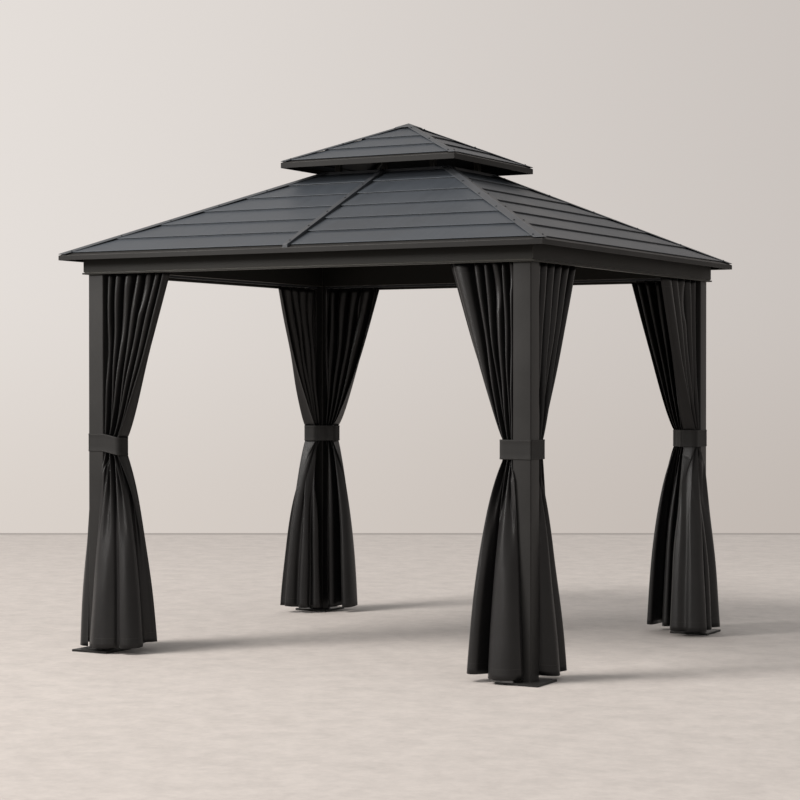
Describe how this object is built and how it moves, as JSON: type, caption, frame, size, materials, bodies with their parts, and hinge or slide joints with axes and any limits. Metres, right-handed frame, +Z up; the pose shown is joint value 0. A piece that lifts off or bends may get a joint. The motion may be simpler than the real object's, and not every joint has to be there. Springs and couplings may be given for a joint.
{
  "type": "double-tier metal gazebo",
  "caption": "Hardtop gazebo with four posts, a lapped metal hip roof, a raised vented cap roof and tied-back curtains at each post.",
  "frame": {"origin": "on the ground at the middle of the plan, the bottom centre of the bounding box", "axes": "+Z up; X along the longer front side, whose face looks towards -Y; +X is the right side seen from the front"},
  "size_m": [2.956, 2.716, 2.9968],
  "materials": {
    "post_paint": "satin charcoal powder coat",
    "beam_paint": "satin dark brown-black powder coat",
    "roof_paint": "satin slate grey coated sheet",
    "trim_paint": "satin charcoal powder coat",
    "curtain_cloth": "smooth woven polyester, soft sheen",
    "tie_cloth": "matte stitched polyester band"
  },
  "bodies": {
    "root": {"post_front_left": "post_paint", "post_front_right": "post_paint", "post_back_left": "post_paint", "post_back_right": "post_paint", "base_plates": "post_paint", "beam_front": "beam_paint", "beam_back": "beam_paint", "beam_left": "beam_paint", "beam_right": "beam_paint", "curtain_rails": "trim_paint", "hip_rafters": "beam_paint", "mid_rafters": "beam_paint", "vent_curb": "trim_paint", "vent_struts": "beam_paint", "roof_front_left": "roof_paint", "roof_front_right": "roof_paint", "roof_back_left": "roof_paint", "roof_back_right": "roof_paint", "roof_left": "roof_paint", "roof_right": "roof_paint", "roof_ribs": "trim_paint", "hip_caps": "trim_paint", "drip_edges": "trim_paint", "cap_hub": "beam_paint", "cap_rafters": "beam_paint", "cap_front": "roof_paint", "cap_back": "roof_paint", "cap_left": "roof_paint", "cap_right": "roof_paint", "cap_hip_caps": "trim_paint", "cap_drip_edges": "trim_paint", "apex_cap": "trim_paint", "curtain_front_left": "curtain_cloth", "curtain_front_right": "curtain_cloth", "curtain_back_left": "curtain_cloth", "curtain_back_right": "curtain_cloth", "curtain_left_front": "curtain_cloth", "curtain_left_back": "curtain_cloth", "curtain_right_front": "curtain_cloth", "curtain_right_back": "curtain_cloth", "tie_front_left": "tie_cloth", "tie_front_right": "tie_cloth", "tie_back_left": "tie_cloth", "tie_back_right": "tie_cloth"}
  },
  "joints": []
}
